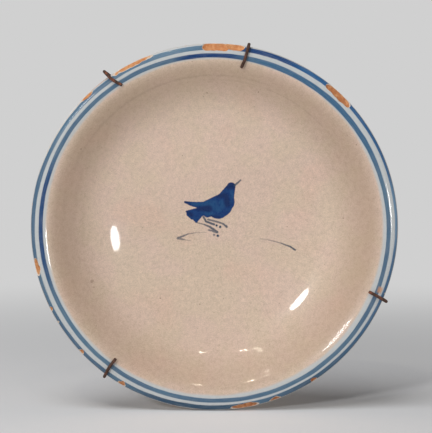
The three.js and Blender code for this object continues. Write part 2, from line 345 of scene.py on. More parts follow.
def wallPoint(shape, share):  # the inside of the wall and its direction, from the floor to the crest
    rise = shape["floorRadius"] * math.tan(shape["turnUp"]) / 3
    start = np.array((shape["floorRadius"], shape["floorHeight"] + rise))
    end = np.array((shape["radius"] - shape["crestInset"], shape["height"]))
    first = start + shape["footHandle"] * np.array((math.cos(shape["turnUp"]), math.sin(shape["turnUp"])))
    second = end - np.array((shape["lipHandle"], 0))
    rest = 1 - share
    point = rest**3 * start + 3 * rest**2 * share * first + 3 * rest * share**2 * second + share**3 * end
    along = 3 * (rest**2 * (first - start) + 2 * rest * share * (second - first) + share**2 * (end - second))
    return point, along / np.linalg.norm(along)


def roundRun(centre, radii, fromAngle, toAngle, steps):
    angles = np.radians(np.linspace(fromAngle, toAngle, steps + 1))
    return [(centre[0] + radii[0] * math.cos(a), centre[1] + radii[1] * math.sin(a)) for a in angles]


def rolledRun(centre, radii, steps, power):  # a quarter turn, fuller than an ellipse
    run = []
    for angle in np.radians(np.linspace(0, 90, steps + 1)):
        outward, forward = math.cos(angle) ** (2 / power), math.sin(angle) ** (2 / power)
        run.append((centre[0] + radii[0] * outward, centre[1] + radii[1] * forward))
    return run


# Runs of (radius, height) from the recess's centre round to the well's centre, each with its finish
def dishSection(shape):
    inner, outer, rounding = shape["footInner"], shape["footRadius"], shape["footRounding"]
    fillet = shape["recessFillet"]
    shares = np.linspace(0, 1, 14)[:-1]
    recess = [((inner - fillet) * s, shape["recess"] + shape["recessDoming"] * (1 - s * s)) for s in shares]
    recess += roundRun((inner - fillet, shape["recess"] - fillet), (fillet, fillet), 90, 20, 5)
    ring = roundRun((inner - fillet, shape["recess"] - fillet), (fillet, fillet), 10, 0, 1)
    ring += roundRun((inner + rounding, rounding), (rounding, rounding), 180, 270, 5)
    ring += [(inner + (outer - inner) * s, 0) for s in (0.3, 0.5, 0.7)]
    ring += roundRun((outer - rounding, rounding), (rounding, rounding), 270, 360, 5)
    ring += [(outer, 2.2)]
    outside = [(outer, 3.4), (outer, 5), (outer, shape["footHeight"])]
    for share in np.linspace(1 / 9.5, 8 / 9.5, 34):
        point, along = wallPoint(shape, share)
        outside.append((point[0] + along[1] * shape["wall"], point[1] - along[0] * shape["wall"]))
    edge = shape["height"] - shape["edgeDrop"]
    underRadii = (shape["underInset"], shape["lipThickness"] - shape["edgeDrop"])
    outside += roundRun((shape["radius"] - shape["underInset"], edge), underRadii, -90, -12, 9)
    crest = shape["radius"] - shape["crestInset"]
    face = rolledRun((crest, edge), (shape["crestInset"], shape["edgeDrop"]), 22, shape["lipFullness"])
    face += [tuple(wallPoint(shape, share)[0]) for share in np.linspace(0.985, 0, 64)]
    rise = shape["floorRadius"] * math.tan(shape["turnUp"]) / 3
    for share in np.linspace(0.97, 0, 34):
        face.append((shape["floorRadius"] * share, shape["floorHeight"] + rise * share**3))
    lip = [point for point in face if point[0] > glaze["lipFrom"]]
    well = [point for point in face if point[0] <= glaze["lipFrom"]]
    back = [(recess, backFinish), (ring, footFinish), (outside, backFinish)]
    return back + [(lip, lipFinish), (well, wellFinish)]


# What the thrower's hand leaves: rings, and a wall that is slightly uneven
def handMade(shape, radius, height, angle, finish):
    if radius < 1:
        return height
    inside = finish in (wellFinish, lipFinish)
    most, spread = shape["unevenInside"] if inside else shape["unevenOutside"]
    swell = math.exp(-((radius - most) / spread) ** 2)
    ring = math.sin(2 * math.pi * (radius / shape["throwingRing"] + angle / (2 * math.pi)))
    place = Vector((math.cos(angle) * 1.3, math.sin(angle) * 1.3, radius / 60 + (7 if inside else 0)))
    return height + swell * (shape["ringHeight"] * ring + shape["unevenness"] * noise.noise(place))


def turnDish(shape):
    runs = dishSection(shape)
    section = [(r, h, finish) for points, finish in runs for r, h in points]
    sides = shape["sides"]
    corners = [onDish(0, section[0][1], 0)]
    for r, h, finish in section[1:-1]:
        for k in range(sides):
            angle = 2 * math.pi * k / sides
            depth = h if finish == footFinish else handMade(shape, r, h, angle, finish)
            corners.append(onDish(r * math.cos(angle), depth, r * math.sin(angle)))
    corners.append(onDish(0, section[-1][1], 0))
    faces, finishes = [], []
    count = len(section) - 2
    for k in range(sides):
        faces.append((0, 1 + k, 1 + (k + 1) % sides))
        finishes.append(section[0][2])
    for i in range(count - 1):
        for k in range(sides):
            a, b = 1 + i * sides + k, 1 + i * sides + (k + 1) % sides
            faces.append((a, a + sides, b + sides, b))
            finishes.append(section[i + 2][2])
    last = 1 + (count - 1) * sides
    for k in range(sides):
        faces.append((len(corners) - 1, last + (k + 1) % sides, last + k))
        finishes.append(section[-1][2])
    mesh = bpy.data.meshes.new("dishBody")
    mesh.from_pydata([tuple(c) for c in corners], [], faces)
    mesh.polygons.foreach_set("material_index", finishes)
    return mesh


# The chips knocked off the lip

chips = {
    "places": [  # angle, length along the edge, bite in from it, depth, and how square its outline is
        (46.9, 26.4, 5.2, 2.2, 6), (89.6, 24, 6.8, 2, 5), (83.6, 19, 5.4, 2, 3), (117, 47, 3.5, 2.2, 2.6),
        (134.2, 20, 2.8, 2.1, 2), (192.5, 18, 4.2, 2.2, 2.6), (206.5, 6, 2.8, 2, 2), (211, 4, 1.9, 1.6, 2),
        (223, 7, 2.8, 2.1, 2), (239.3, 9, 3.6, 2.2, 2), (279.8, 27, 3.9, 2.2, 2.6), (289.6, 14, 3.2, 2.1, 2),
        (303.2, 7.5, 3.4, 2.1, 2), (338.9, 3, 1.4, 1.3, 2),
    ],
    "proud": 1.2,
    "lift": 1,
    "coarse": (0.55, 3.2),  # height and spacing of the break's facets, mm
    "fine": (0.16, 0.9),
}


def flake(shape, settings, angle, length, bite, depth, square):
    form = bmesh.new()
    bmesh.ops.create_icosphere(form, subdivisions=5, radius=1)
    size = Vector((bite + settings["proud"], depth + settings["lift"] + shape["edgeDrop"] / 2, length / 2))
    turn = math.radians(angle)
    for corner in form.verts:
        x, y, z = corner.co
        # its outline lies between an ellipse and a box
        squared = (abs(x) ** square + abs(z) ** square + 1e-9) ** (1 / square)
        swell = (math.hypot(x, z) + 1e-9) / squared
        uneven = 1 + 0.05 * math.sin(5 * x + angle) * math.cos(4 * z - angle)
        uneven += 0.04 * math.sin(6 * y + 2 * angle)
        local = Vector((x * size.x * swell, y * size.y, z * size.z * swell)) * uneven
        out = Vector((x / size.x, y / size.y, z / size.z)).normalized()
        for height, spacing in (settings["coarse"], settings["fine"]):
            local += out * height * noise.noise(local / spacing + Vector((angle, 0, 0)))
        radial = shape["radius"] + settings["proud"] + local.x
        depthForward = shape["height"] + settings["lift"] - local.y
        # a long flake follows the round of the lip
        bend = (local.z / shape["radius"]) ** 2 / 2 * shape["radius"]
        across = (radial - bend) * math.cos(turn) - local.z * math.sin(turn)
        up = (radial - bend) * math.sin(turn) + local.z * math.cos(turn)
        corner.co = onDish(across, depthForward, up)
    if form.calc_volume(signed=True) < 0:
        bmesh.ops.reverse_faces(form, faces=form.faces)
    mesh = bpy.data.meshes.new("flake")
    form.to_mesh(mesh)
    form.free()
    return mesh


def cutChips(thing, shape, settings, clay):
    for k, place in enumerate(settings["places"]):
        cutter = addObject(f"flake{k}", flake(shape, settings, *place))
        cutter.data.materials.append(clay)
        cut = thing.modifiers.new("chip", "BOOLEAN")
        cut.operation = "DIFFERENCE"
        cut.solver = "MANIFOLD"
        cut.material_mode = "TRANSFER"
        cut.object = cutter
    bpy.context.view_layer.update()
    whole = bpy.data.meshes.new_from_object(thing.evaluated_get(bpy.context.evaluated_depsgraph_get()))
    thing.modifiers.clear()
    for cutter in [o for o in bpy.data.objects if o.name.startswith("flake")]:
        bpy.data.objects.remove(cutter)
    thing.data = whole


def smooth(thing, sharpAngle):
    form = bmesh.new()
    form.from_mesh(thing.data)
    for face in form.faces:
        face.smooth = True
    for edge in form.edges:
        if len(edge.link_faces) == 2:
            one, other = edge.link_faces
            edge.smooth = edge.calc_face_angle(0) < math.radians(sharpAngle)
            if (one.material_index == chipFinish) != (other.material_index == chipFinish):
                edge.smooth = False
    form.to_mesh(thing.data)
    form.free()


def angleWindow(finish, direction, at, half, soft):  # 1 within half degrees of an angle round the dish
    toward = (math.cos(math.radians(at)), 0, math.sin(math.radians(at)))
    along = finish.vector("DOT_PRODUCT", direction, toward, output="Value")
    outer, inner = math.radians(half + soft), math.radians(max(half - soft, 0))
    return finish.ease(along, math.cos(outer), math.cos(inner))


def brushBand(finish, radius, centre, half, soft):
    off = finish.math("ABSOLUTE", radius - centre)
    return finish.ease(off, half + soft / 2, half - soft / 2)


# The bird and the ground it stands on, in strokes of a small brush. Each stroke has its start across and
# up from the bird's middle, half its width there, its end, and half its width there
bird = {
    "unit": 0.837,  # mm to each unit of the strokes
    "middle": (0.5, 17.9),  # mm from the dish's middle
    "wobble": 0.45,
    "body": [
        (16.2, 17.8, 4.3, 10.5, 5, 8.6), (10.2, 2.6, 9.4, 3.2, -4.2, 10.2),  # head, breast and belly
        (7, -1.4, 10.3, 6.4, -2, 10.3), (6, 3, 7.5, -11, -1.5, 4.2),  # belly, back
        (-11, -1.5, 4.2, -24, 0.7, 2), (-24, 0.7, 2, -30, 2.4, 1),  # wing
        (-3, -3, 8, -14, -7, 4.5), (-14, -7, 4.5, -24.5, -8.2, 2.9),  # rump, tail
        (-24.5, -8.2, 2.9, -28, -7.2, 1.3), (-15.5, -9.3, 3.9, -18.6, -17, 1.1),  # tail
        (-26.2, -9.4, 2.5, -22.6, -12.3, 2.8), (-21.4, -12, 2.9, -18.9, -16.8, 1.4),  # the tail's edge
        (-2, -6, 6, -7.5, -9.5, 3.6),  # under the belly
    ],
    "dark": [
        (13, 18.6, 2.8, 18.5, 18.4, 2.8), (11, 8.5, 2, 12.4, 0.5, 2.7),  # head and breast
        (-17.5, -4.5, 1.4, -6.5, -4.2, 3), (-28, -7.5, 1.2, -23.5, -10.5, 1.6),  # under the wing, tail
        (-4, -12, 1, 4, -12.6, 0.9), (-30, 2.6, 1.4, -26, 0.4, 0.7), (2, 8, 1, 9, 9, 2.2),
    ],
    "light": [
        (-22, 0.8, 1.2, -4, 1.5, 2.4), (-2, 1, 2.6, 3, -5, 2.6),  # wing
        (6, 2, 1.6, 8, -2, 1.8), (16.8, 13, 1, 17.8, 7, 1.2), (-9, -8.5, 1.2, -3, -9.5, 1.4),
    ],
    "thin": [  # the same, with how much pigment the brush still holds
        (19.6, 19, 1.1, 25.7, 24.4, 0.65, 0.85),  # beak
        (-11.5, -12.5, 1, -9, -17, 1, 0.85), (-9, -17, 1, -1, -20, 1.1, 0.9),  # a leg
        (1.5, -21, 1.05, 1.6, -21, 1.05, 1), (5.2, -22.4, 1.2, 5.3, -22.4, 1.2, 1),  # its claws
        (-7, -15, 0.9, 2, -17.3, 0.9, 0.75), (2, -17.3, 0.9, 8, -19.3, 0.9, 0.75),  # the other leg
        (8, -19.3, 0.9, 11.8, -22.4, 1.1, 0.85), (-18, -18.2, 0.55, -11, -20, 0.6, 0.7),
        (-11, -20, 0.7, -5, -22.5, 1.1, 0.8), (-5, -22.5, 1.1, 2, -27.6, 1.3, 0.85),
        (-6.2, -25.6, 0.8, 1.5, -27.6, 1.2, 0.75), (-1.2, -30.4, 0.9, -0.6, -30.4, 0.9, 0.7),
        (2.8, -31.3, 1.25, 3, -31.4, 1.25, 1),
        (-9, -27.8, 0.3, -19, -28.2, 0.45, 0.35), (-19, -28.2, 0.45, -27, -29.6, 0.55, 0.55),  # ground
        (-27, -29.6, 0.6, -37, -33.6, 1.1, 0.75), (-37.3, -33.8, 1.2, -31, -35.2, 0.7, 0.65),
        (-31, -35.2, 0.6, -24, -36.5, 0.35, 0.4), (26.7, -30.6, 0.35, 38, -32.4, 0.3, 0.18),
        (45, -34.3, 0.35, 53, -35.3, 0.4, 0.35), (53, -35.3, 0.4, 66, -38.6, 0.55, 0.55),
        (66, -38.6, 0.55, 75, -42, 0.8, 0.8), (75, -42, 0.8, 80, -45.3, 0.85, 0.9),
    ],
    "deep": screenColour(0, 34, 84),
    "cobalt": screenColour(0, 46, 104),
    "wash": screenColour(20, 69, 116),
    "line": screenColour(40, 62, 84),
}


def strokeDistance(finish, spot, x0, y0, r0, x1, y1, r1):  # distance from the edge of one tapered stroke
    run = (x1 - x0, 0.0, y1 - y0)
    length2 = max(run[0] ** 2 + run[2] ** 2, 1e-4)
    away = finish.vector("SUBTRACT", spot, (x0, 0.0, y0))
    along = finish.vector("DOT_PRODUCT", away, tuple(c / length2 for c in run), output="Value")
    share = finish.math("MULTIPLY", along, 1.0, clamp=True)
    nearest = finish.scaled(run, share)
    apart = finish.vector("DISTANCE", away, nearest, output="Value")
    return apart - finish.math("MULTIPLY_ADD", share, r1 - r0, r0)


def nearestStroke(finish, spot, strokes, joinSoft):
    least = None
    for stroke in strokes:
        one = strokeDistance(finish, spot, *stroke)
        least = one if least is None else finish.math("SMOOTH_MIN", least, one, joinSoft)
    return least


def paintBird(finish, place, under, design):
    unit, (right, high) = design["unit"], design["middle"]
    flat = finish.vector("MULTIPLY", place, (1 / unit, 0, 1 / unit))
    spot = finish.vector("SUBTRACT", flat, (right / unit, 0, high / unit))
    shakeAcross = finish.grain(flat, 0.8, 2) - 0.5
    shakeUp = finish.grain(finish.vector("ADD", flat, (50, 9, 20)), 0.8, 2) - 0.5
    shake = finish.scaled(finish.join(shakeAcross, 0.0, shakeUp), design["wobble"] * 2)
    spot = finish.vector("ADD", spot, shake)
    body = nearestStroke(finish, spot, design["body"], 0.8)
    inBody = finish.ease(body, 0.45, -0.35)
    dark = finish.ease(nearestStroke(finish, spot, design["dark"], 0.6), 1.9, -1.2)
    light = finish.ease(nearestStroke(finish, spot, design["light"], 0.6), 2.2, -1.0)
    pool = finish.ease(body, -1.6, 0.1) * 0.35  # pigment gathers along the edge of a wash
    cloud = finish.grain(flat, 0.35, 3)
    thin = finish.ease(cloud, 0.35, 0.68) * 0.5 + light * 0.65
    wash = finish.blend(thin, design["cobalt"], design["wash"])
    body = finish.blend(finish.math("MAXIMUM", dark * 0.95, pool), wash, design["deep"])
    painted = finish.blend(inBody, under, body)
    load = None
    for *stroke, amount in design["thin"]:
        one = finish.ease(strokeDistance(finish, spot, *stroke), 0.5, -0.45) * amount
        load = one if load is None else finish.math("MAXIMUM", load, one)
    uneven = 0.8 + finish.grain(flat, 0.6, 2) * 0.4
    return finish.blend(load * uneven, painted, design["line"])


# What the well and the lip share: the pinkish glaze with its mottling, grain and specks, and its painted
# shade and light
def glazeGround(finish):
    place = finish.place(dishMiddle)
    across, _, up = finish.parts(place)
    flat = finish.join(across, 0.0, up)
    radius = finish.vector("LENGTH", flat, output="Value")
    direction = finish.vector("NORMALIZE", flat)
    fineGrain = finish.grain(place, 1.1, 3, 0.6)
    dusty = finish.grain(place, 0.28, 3, 0.6)
    mottle = finish.grain(place, glaze["mottle"], 3, 0.55)
    base = finish.blend(finish.ease(mottle, 0.38, 0.62), glaze["pink"], glaze["sand"])
    elsewhere = finish.vector("ADD", place, (70.0, 20.0, 10.0))
    flush = finish.ease(finish.grain(elsewhere, glaze["flushScale"], 2), 0.5, 0.72)
    base = finish.blend(flush * 0.5, base, glaze["flush"])
    rings = finish.grain(finish.join(radius * 0.35, 3.0, 0.0), 1.0, 2)
    tone = 1.0 + (fineGrain - 0.5) * glaze["grain"]
    tone = tone + (dusty - 0.5) * glaze["dust"] + (rings - 0.5) * glaze["rings"]

    # painted shade: the wall is painted darker and browner, less so low down and more so at the left, and the
    # lower well a little browner
    inside = finish.ease(radius, *glaze["wallTop"])
    wall = finish.ease(radius, *glaze["wall"]) * inside
    low, high = finish.ease(up, -30, -110), finish.ease(up * 0.9 - across * 0.35, 15, 85)
    left = finish.ease(across, -20, -95)
    # painted light at the top left, painted shade at the bottom
    tone = tone + high * glaze["paintedLightAbove"] - low * glaze["paintedShadeBelow"]
    shade, lessLow, moreLeft = glaze["wallPaintedShade"]
    base = finish.toned(base, tone * (1 - wall * (shade - low * lessLow + left * moreLeft)))
    brown, lessLow = glaze["wallPaintedShadeBrown"]
    tan = wall * (brown - low * lessLow) + finish.ease(radius, 62, 96) * inside * low * 0.1
    base = finish.blend(tan, base, glaze["tan"])
    away, pick, tint = finish.scattered(place, 1 / 4.2)
    speck = finish.ease(away, 0.1, 0.055) * finish.ease(pick, 0.62, 0.7) * (0.25 + tint * 0.5)
    base = finish.blend(speck, base, glaze["speck"])
    away, pick, tint = finish.scattered(place, 1 / 21)
    bigSpeck = finish.ease(away, 0.04, 0.022) * finish.ease(pick, 0.55, 0.6)
    base = finish.blend(bigSpeck * 0.6, base, glaze["speck"])
    surface = finish.grain(place, 0.16, 2) + fineGrain * 0.3
    return SimpleNamespace(
        place=place,
        flat=flat,
        radius=radius,
        direction=direction,
        grain=fineGrain,
        dust=dusty,
        base=base,
        surface=surface,
    )


def glassy(finish, base, rough, surface, coat, gloss):
    return finish.cover({
        "Base Color": base,
        "Roughness": rough,
        "Specular IOR Level": glaze["specular"],
        "Coat Weight": coat,
        "Coat Roughness": gloss,
        "Normal": finish.bump(surface, 0.05, 1.0),
    })


def wellGlaze():
    finish = Finish("wellGlaze")
    ground = glazeGround(finish)
    base = paintBird(finish, ground.place, ground.base, bird)
    for x, z, size, strength in wellMarks:
        away = finish.vector("DISTANCE", ground.flat, (x, 0.0, z), output="Value")
        spot = finish.ease(away + (ground.grain - 0.5) * size, size, size * 0.35)
        base = finish.blend(spot * strength, base, glaze["speck"])
    rough = glaze["roughness"] + (ground.dust - 0.5) * 0.12
    return glassy(finish, base, rough, ground.surface, glaze["coat"], glaze["wellGloss"])


# Places on the lip: an angle round it, half a width there and how softly it ends, in degrees
lipWearAndPaintedLight = {
    "upperRing": (124.3, 0.6, 1.6),  # two throwing rings, as painted shade: mm from the middle, half a width and softness
    "upperRingAt": (110, 34, 20),
    "lowerRing": (121, 0.4, 1.4),
    "lowerRingAt": (68, 24, 16),
    "heavyAt": (52, 15, 22),  # where the inner band is broader
    "edge": (149.15, 149.75),  # mm from the middle, where the glaze thins out
    # where a highlight is painted on the edge
    "edgeHighlightAt": (146, 11, 8),
    "wornAt": (136, 18, 14),
    "stainAt": (339.4, 0.5, 0.9),  # rust that has run from a hook
    "rubbedAt": [(149, 16, 8), (316, 12, 8)],  # where the gloss has gone
}


def lipGlaze():
    finish = Finish("lipGlaze")
    ground = glazeGround(finish)
    place, radius, direction, base = ground.place, ground.radius, ground.direction, ground.base

    def window(stretch):
        return angleWindow(finish, direction, *stretch)

    # painted shade: two throwing rings, drawn as darker lines at the top of the wall
    upper = brushBand(finish, radius, *lipWearAndPaintedLight["upperRing"]) * window(lipWearAndPaintedLight["upperRingAt"])
    lower = brushBand(finish, radius, *lipWearAndPaintedLight["lowerRing"]) * window(lipWearAndPaintedLight["lowerRingAt"])
    base = finish.toned(base, 1 - finish.math("MAXIMUM", upper, lower * 0.8) * 0.1)

    # the lip, where the white of the glaze lies thick and covers the clay
    waver = finish.grain(finish.scaled(direction, 4.0), 1.0, 2)
    lipWhite = finish.ease(radius + (waver - 0.5) * 2.4, glaze["lipStart"] - 1.2, glaze["lipStart"] + 1.6)
    white = finish.toned(glaze["lipWhite"], 1.0 + (finish.grain(place, 0.5, 3) - 0.5) * 0.16)
    base = finish.blend(lipWhite, base, white)

    # two bands, laid on with a brush while the dish turned
    streakPlace = finish.vector("ADD", finish.scaled(direction, 13.0), finish.join(0.0, radius * 1.7, 0.0))
    streak = finish.grain(streakPlace, 1.0, 3, 0.55)
    slow = finish.grain(finish.scaled(direction, 2.6), 1.0, 2)
    ragged = (finish.grain(streakPlace, 0.7, 2) - 0.5) * 0.8
    thick = 0.97 + (streak - 0.5) * 0.55
    right, _, top = finish.parts(direction)
    sides, slants = right * right - top * top, right * top * 2

    def band(middle, wander, half):
        centre = middle + right * wander[0] + top * wander[1] + sides * wander[2] + slants * wander[3]
        return brushBand(finish, radius + ragged, centre + (waver - 0.5) * 0.7, half, bands["soft"])

    half = bands["innerHalf"] + window(lipWearAndPaintedLight["heavyAt"]) * 0.5
    inner = band(bands["innerMiddle"], bands["innerWander"], half)
    pale = finish.ease(slow, 0.35, 0.6) * 0.5 + (streak - 0.5) * 0.8
    tone = finish.blend(pale, bands["slate"], bands["pale"])
    *stretch, share = bands["innerTeal"]
    tone = finish.blend(window(stretch) * share, tone, bands["teal"])
    laid = finish.ease(streak, 0.15, 0.4)
    for *stretch, share in bands["innerNavy"]:
        tone = finish.blend(window(stretch) * share * laid, tone, bands["navy"])
    base = finish.blend(inner * thick, base, tone)
    outer = band(bands["outerMiddle"], bands["outerWander"], bands["outerHalf"])
    pale = finish.ease(slow, 0.62, 0.38) * 0.5 + (streak - 0.5) * 0.9
    tone = finish.blend(pale, bands["slate"], bands["pale"])
    for blue, *stretch, share in bands["outerBlues"]:
        tone = finish.blend(window(stretch) * share, tone, bands[blue])
    base = finish.blend(outer * thick, base, tone)

    # the edge, worn and thin, with clay showing through
    # painted highlight: at the upper left the whitish edge is painted wider and lighter, with less clay
    # showing
    edgeHighlight = window(lipWearAndPaintedLight["edgeHighlightAt"])
    edgeLine = finish.ease(radius + ragged + edgeHighlight * 0.8, *lipWearAndPaintedLight["edge"])
    wear = finish.grain(place, 0.22, 3) + window(lipWearAndPaintedLight["wornAt"]) * 0.22
    worn = finish.ease(wear, 0.58, 0.72)
    base = finish.blend(edgeLine * 0.85, base, finish.toned(glaze["edge"], 1 + edgeHighlight * 0.3))
    base = finish.blend(edgeLine * worn * (0.9 - edgeHighlight * 0.8), base, glaze["edgeWarm"])
    stain = window(lipWearAndPaintedLight["stainAt"]) * finish.ease(radius, 141.5, 143.5) * finish.ease(radius, 146.6, 145.4)
    base = finish.blend(stain * 0.75, base, glaze["stain"])
    for x, z, size, strength in lipMarks:
        away = finish.vector("DISTANCE", ground.flat, (x, 0.0, z), output="Value")
        base = finish.blend(finish.ease(away, size, size * 0.35) * strength, base, glaze["speck"])
    leftRub, rightRub = map(window, lipWearAndPaintedLight["rubbedAt"])
    rubbed = leftRub * finish.ease(radius, 141.5, 144) * 0.85 + rightRub * 0.65
    rough = glaze["roughness"] + (ground.dust - 0.5) * 0.12 + edgeLine * 0.2
    return glassy(finish, base, rough, ground.surface, glaze["coat"] * (1 - rubbed), glaze["lipGloss"])


backGlaze = {
    "base": screenColour(199, 180, 160),
    "thin": screenColour(190, 150, 120),
    "grey": screenColour(178, 166, 150),
    "dirt": screenColour(120, 100, 82),
}


def plainGlaze():  # the back: thinner, duller, dusty, with the clay showing at the turning rings
    finish = Finish("backGlaze")
    place = finish.place(dishMiddle)
    across, _, up = finish.parts(place)
    flat = finish.join(across, 0.0, up)
    radius = finish.vector("LENGTH", flat, output="Value")
    direction = finish.vector("NORMALIZE", flat)
    cloud = finish.grain(place, 1 / 38, 3)
    ringPlace = finish.vector("ADD", finish.scaled(direction, 1.5), finish.join(0.0, radius * 0.45, 0.0))
    rings = finish.grain(ringPlace, 1.0, 3)
    base = finish.blend(finish.ease(cloud, 0.4, 0.64), backGlaze["base"], backGlaze["grey"])
    base = finish.blend(finish.ease(rings, 0.52, 0.72) * 0.55, base, backGlaze["thin"])
    nearFoot = finish.ease(radius, 86, 80) * finish.ease(radius, 66, 71)
    thinFoot = finish.ease(finish.grain(place, 0.12, 3) + nearFoot * 0.3, 0.6, 0.72)
    base = finish.blend(thinFoot * 0.7, base, backGlaze["thin"])
    fineGrain = finish.grain(place, 1.0, 3, 0.6)
    tone = 0.97 + (fineGrain - 0.5) * 0.2 + (finish.grain(place, 0.2, 3) - 0.5) * 0.14
    base = finish.toned(base, tone)
    dust = finish.ease(finish.grain(place, 0.06, 4, 0.6), 0.5, 0.72) * 0.35 + nearFoot * 0.25
    base = finish.blend(dust, base, backGlaze["dirt"])
    away, pick, tint = finish.scattered(place, 1 / 3.6)
    pinhole = finish.ease(away, 0.12, 0.06) * finish.ease(pick, 0.5, 0.6)
    base = finish.blend(pinhole * (0.3 + tint * 0.5), base, backGlaze["dirt"])
    edge = finish.ease(radius, 147.5, 149.6)
    base = finish.blend(edge * 0.8, base, glaze["edge"])
    height = finish.grain(place, 0.15, 2) * 0.5 + rings * 0.5 + fineGrain * 0.06 - pinhole * 0.25
    return finish.cover({
        "Base Color": base,
        "Roughness": 0.36 + (cloud - 0.5) * 0.3 + dust * 0.4,
        "Coat Weight": 0.35,
        "Coat Roughness": 0.18,
        "Normal": finish.bump(height, 0.5, 0.7),
    })


clay = {
    "light": screenColour(204, 148, 102),
    "orange": screenColour(186, 120, 74),
    "red": screenColour(150, 84, 52),
    "dirt": screenColour(104, 76, 58),
    "glazeSide": screenColour(204, 194, 182),
    "footDirt": 0.6,
    "chipDirt": 0.3,
}


def bareClay(name, dirtShare):
    finish = Finish(name)
    place = finish.place(dishMiddle)
    across, depth, up = finish.parts(place)
    radius = finish.vector("LENGTH", finish.join(across, 0.0, up), output="Value")
    cloud = finish.grain(place, 0.32, 4, 0.6)
    sand = finish.grain(place, 1.6, 3, 0.7)
    base = finish.blend(finish.ease(cloud, 0.34, 0.66), clay["light"], clay["orange"])
    # redder and darker towards the right and the bottom
    rightAndLow = finish.ease(across, 70, 105) * 0.45 + finish.ease(up, -90, -140) * 0.5
    red = finish.ease(sand, 0.56, 0.76) * 0.6 + rightAndLow * finish.ease(cloud, 0.3, 0.6)
    base = finish.blend(red, base, clay["red"])
    dirty = finish.ease(finish.grain(place, 0.12, 3), 0.55, 0.75) * dirtShare
    base = finish.blend(dirty, base, clay["dirt"])
    # the broken side of the glaze, a third of a millimetre under the old surface of the lip
    inset, drop = dish["crestInset"], dish["edgeDrop"]
    outward = finish.math("MAXIMUM", radius - (dish["radius"] - inset), 0.0) / inset
    forward = finish.math("MAXIMUM", depth - (dish["height"] - drop), 0.0) / drop
    near = finish.vector("LENGTH", finish.join(outward, forward, 0.0), output="Value")
    layer = finish.ease(near + (sand - 0.5) * 0.04, 0.955, 0.98) * finish.ease(radius, 120, 130)
    base = finish.blend(layer * 0.85, base, clay["glazeSide"])
    height = cloud * 0.6 + sand * 0.4
    return finish.cover({
        "Base Color": base,
        "Roughness": 0.88 - layer * 0.5,
        "Normal": finish.bump(height, 0.6, 0.9),
    })


dishFinishes = [
    wellGlaze(),
    lipGlaze(),
    plainGlaze(),
    bareClay("footRingClay", clay["footDirt"]),
    bareClay("chipClay", clay["chipDirt"]),
]
print("glaze mixed")

dishBody = addObject("glazedDish", turnDish(dish))
for material in dishFinishes:
    dishBody.data.materials.append(material)
cutChips(dishBody, dish, chips, dishFinishes[chipFinish])
smooth(dishBody, 32)
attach(dishBody, "turning_dish")
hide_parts("dish")
print("dish turned and chipped:", len(dishBody.data.polygons), "faces")


# The hanger's wires: each follows the middle line of its solid, as a round wire with a pitted coat of rust

hangerWire = {
    "sides": 16,
    "spacing": 0.6,  # mm from one ring of corners to the next
    "solidSides": 8,  # of the solid that it follows
    "fullness": 0.955,  # of the solid's reach, which leaves room for the rust
    "rust": (0.03, 1.5),  # height and size of its flakes, mm
    "nipped": 0.72,  # how thick a nipped end is
    "cut": 0.5,  # mm over which it narrows
}
springWire = {
    "sides": 10,
    "spacing": 0.3,
    "solidSides": 5,
    "fullness": 0.98,
    "rust": (0.01, 1.2),
    "nipped": 0.72,
    "cut": 0.2,
    "loop": 7.3,  # mm of each bent-up loop, which doesn't stretch
}


def middleLine(node, sides):  # the middles of the rings of corners that a wire's solid is made of
    form = bmesh.new()
    form.from_mesh(frame["nodes"][node].data)
    bmesh.ops.remove_doubles(form, verts=form.verts, dist=2e-6)
    form.verts.index_update()

    def middle(corners):
        ordered = sorted(corners, key=lambda corner: corner.index)
        return sum((corner.co for corner in ordered), Vector()) / len(ordered)

    waiting, caps = set(form.faces), []
    while waiting:
        first = waiting.pop()
        group, fresh = {first}, [first]
        while fresh:
            face = fresh.pop()
            for edge in face.edges:
                for other in edge.link_faces:
                    if other in waiting and other.normal.angle(first.normal, 0) < 0.004:
                        waiting.discard(other)
                        group.add(other)
                        fresh.append(other)
        rim = {corner for face in group for corner in face.verts}
        if len(group) == sides - 2 and len(rim) == sides:
            centre = middle(rim)
            reach = [(corner.co - centre).length for corner in rim]
            if max(reach) < 1.05 * min(reach):
                caps.append(rim)
    start = min(caps, key=lambda rim: middle(rim).x + middle(rim).z / 2)  # the same end each time
    ring, seen, line = start, set(), []
    while ring:
        line.append(middle(ring))
        seen |= ring
        ring = {edge.other_vert(corner) for corner in ring for edge in corner.link_edges} - seen
    thickness = max((corner.co - line[0]).length for corner in start)
    form.free()
    return line, thickness


def evenLine(points, spacing):  # a smooth curve through the points, in even steps
    points = [np.array(p) for p in points]
    curve = []
    padded = [2 * points[0] - points[1], *points, 2 * points[-1] - points[-2]]
    for p0, p1, p2, p3 in zip(padded, padded[1:], padded[2:], padded[3:]):
        t1 = np.linalg.norm(p1 - p0) ** 0.5
        t2 = t1 + np.linalg.norm(p2 - p1) ** 0.5
        t3 = t2 + np.linalg.norm(p3 - p2) ** 0.5
        steps = max(2, int(np.linalg.norm(p2 - p1) / (spacing * mm) * 2))
        for t in np.linspace(t1, t2, steps, endpoint=False):
            a1 = (t1 - t) / t1 * p0 + t / t1 * p1
            a2 = (t2 - t) / (t2 - t1) * p1 + (t - t1) / (t2 - t1) * p2
            a3 = (t3 - t) / (t3 - t2) * p2 + (t - t2) / (t3 - t2) * p3
            b1 = (t2 - t) / t2 * a1 + t / t2 * a2
            b2 = (t3 - t) / (t3 - t1) * a2 + (t - t1) / (t3 - t1) * a3
            curve.append((t2 - t) / (t2 - t1) * b1 + (t - t1) / (t2 - t1) * b2)
    curve.append(points[-1])
    curve = np.array(curve)
    run = np.concatenate(([0], np.cumsum(np.linalg.norm(np.diff(curve, axis=0), axis=1))))
    even = np.linspace(0, run[-1], int(run[-1] / (spacing * mm)) + 1)
    return np.stack([np.interp(even, run, curve[:, k]) for k in range(3)], axis=1)


